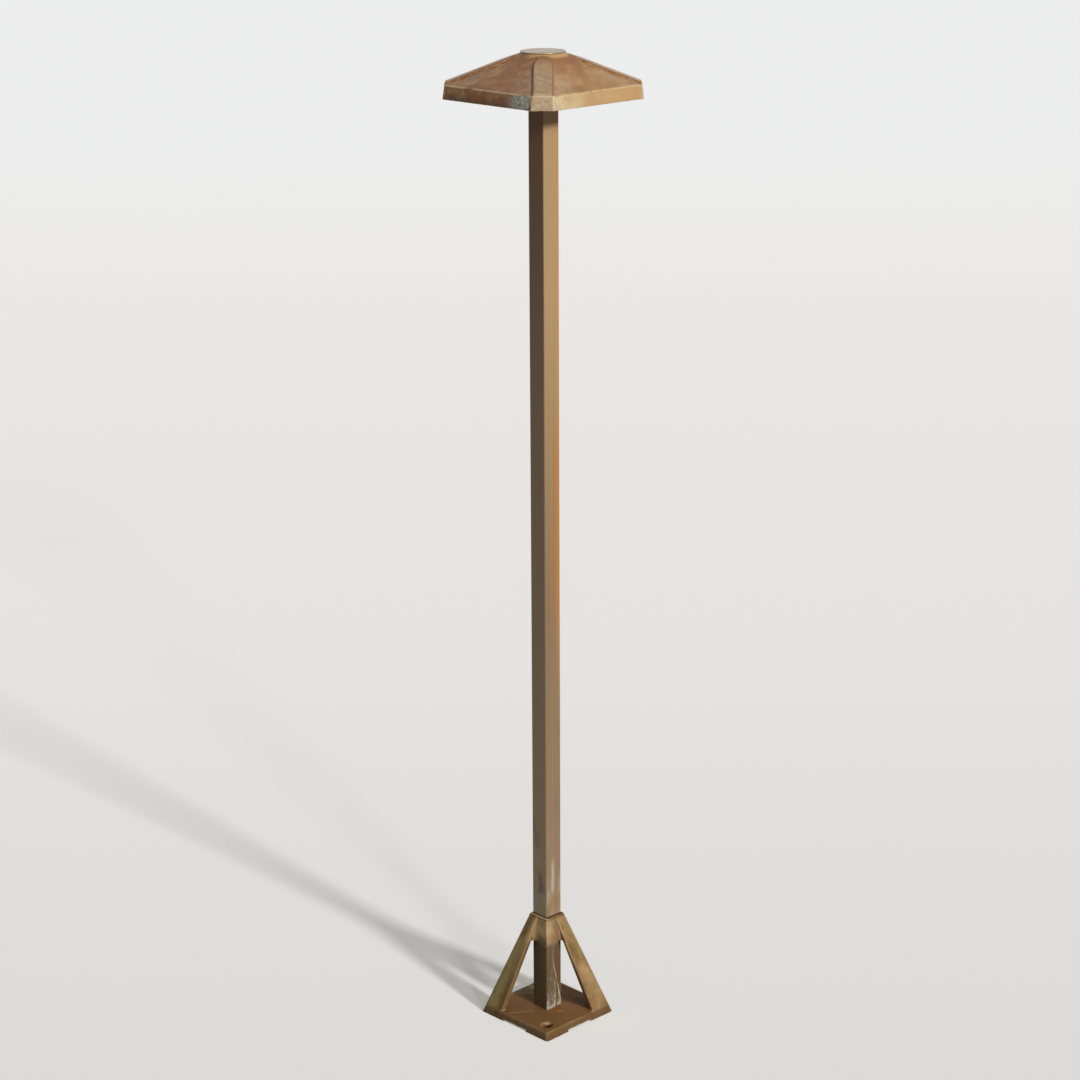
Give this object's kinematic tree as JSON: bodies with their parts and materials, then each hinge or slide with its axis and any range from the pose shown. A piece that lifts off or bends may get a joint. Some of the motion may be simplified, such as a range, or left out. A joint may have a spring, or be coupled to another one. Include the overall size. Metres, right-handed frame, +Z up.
{
  "type": "path light",
  "caption": "Garden path light: slim square pole in a pyramid base with open corners, under a low pyramid shade held down by a round screw cap.",
  "frame": {"origin": "middle of the base's underside, on the ground under the pole", "axes": "+Z up the pole, X and Y along the sides of the square base, pole and shade, +X the way the lamp points"},
  "size_m": [0.1368, 0.1368, 0.9144],
  "materials": {
    "cast_brass": "cast, brown patina",
    "tube_brass": "drawn tube, brown patina",
    "turned_brass": "turned, bare",
    "stainless": "plain",
    "seal_rubber": "matt",
    "holder_ceramic": "unglazed",
    "contact_metal": "plated",
    "lamp_plastic": "matt",
    "lamp_board": "white solder mask",
    "lamp_phosphor": "matt",
    "lamp_glass": "frosted",
    "lead_insulation": "matt",
    "connector_plastic": "matt"
  },
  "bodies": {
    "stand": {"base_casting": "cast_brass", "collar_set_screws": "stainless", "wire_grommet": "seal_rubber", "pole": "tube_brass", "pole_top_plug": "turned_brass", "plug_screws": "stainless", "shade_stud": "turned_brass", "lamp_bracket": "stainless", "lock_washer": "stainless", "lock_nut": "turned_brass", "spacer_tube": "turned_brass", "lamp_holder": "holder_ceramic", "holder_contacts": "contact_metal", "holder_screws": "stainless", "lead_a": "lead_insulation", "lead_b": "lead_insulation", "lead_connector": "connector_plastic", "connector_barrels": "contact_metal"},
    "shade": {"shade": "cast_brass"},
    "seal": {"cap_seal": "seal_rubber"},
    "cap": {"top_cap": "cast_brass"},
    "lamp": {"lamp_base": "lamp_plastic", "lamp_core": "lamp_board", "lamp_leds": "lamp_phosphor", "lamp_envelope": "lamp_glass", "lamp_pins": "contact_metal"}
  },
  "joints": [
    {"name": "shade_lift", "type": "slide", "parent": "stand", "child": "shade", "axis": [0, 0, 1], "range_m": [0, 0.05]},
    {"name": "cap_rise", "type": "slide", "parent": "shade", "child": "seal", "axis": [0, 0, 1], "range_m": [0, 0.00635]},
    {"name": "cap_turn", "type": "hinge", "parent": "seal", "child": "cap", "pos_m": [0, 0, 0.9139], "axis": [0, 0, 1], "range_deg": [0, 1440]},
    {"name": "lamp_pull", "type": "slide", "parent": "stand", "child": "lamp", "axis": [1, 0, 0], "range_m": [0, 0.009]}
  ],
  "couplings": [
    {"joint": "cap_rise", "follows": "cap_turn", "m_per_rad": 0.00025265}
  ]
}
